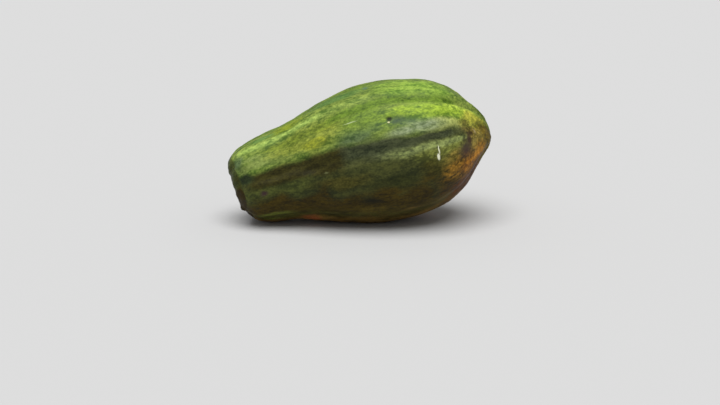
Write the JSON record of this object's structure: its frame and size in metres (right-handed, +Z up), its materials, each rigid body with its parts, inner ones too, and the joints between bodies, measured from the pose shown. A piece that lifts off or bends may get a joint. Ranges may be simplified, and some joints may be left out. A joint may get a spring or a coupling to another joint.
{
  "type": "papaya",
  "caption": "Whole ridged papaya lying on its side, club-shaped with a drooping neck and a pointed blossom end, green ripening to orange.",
  "frame": {"origin": "bottom centre of the fruit's box, on the surface that it lies on", "axes": "+X along the fruit's length, from the stalk end towards the blossom end, which is raised; -Y is the side that faces the viewer; +Z up"},
  "size_m": [0.2838, 0.1518, 0.1531],
  "materials": {
    "papaya_skin": null
  },
  "bodies": {
    "root": {"papaya": "papaya_skin"}
  },
  "joints": []
}
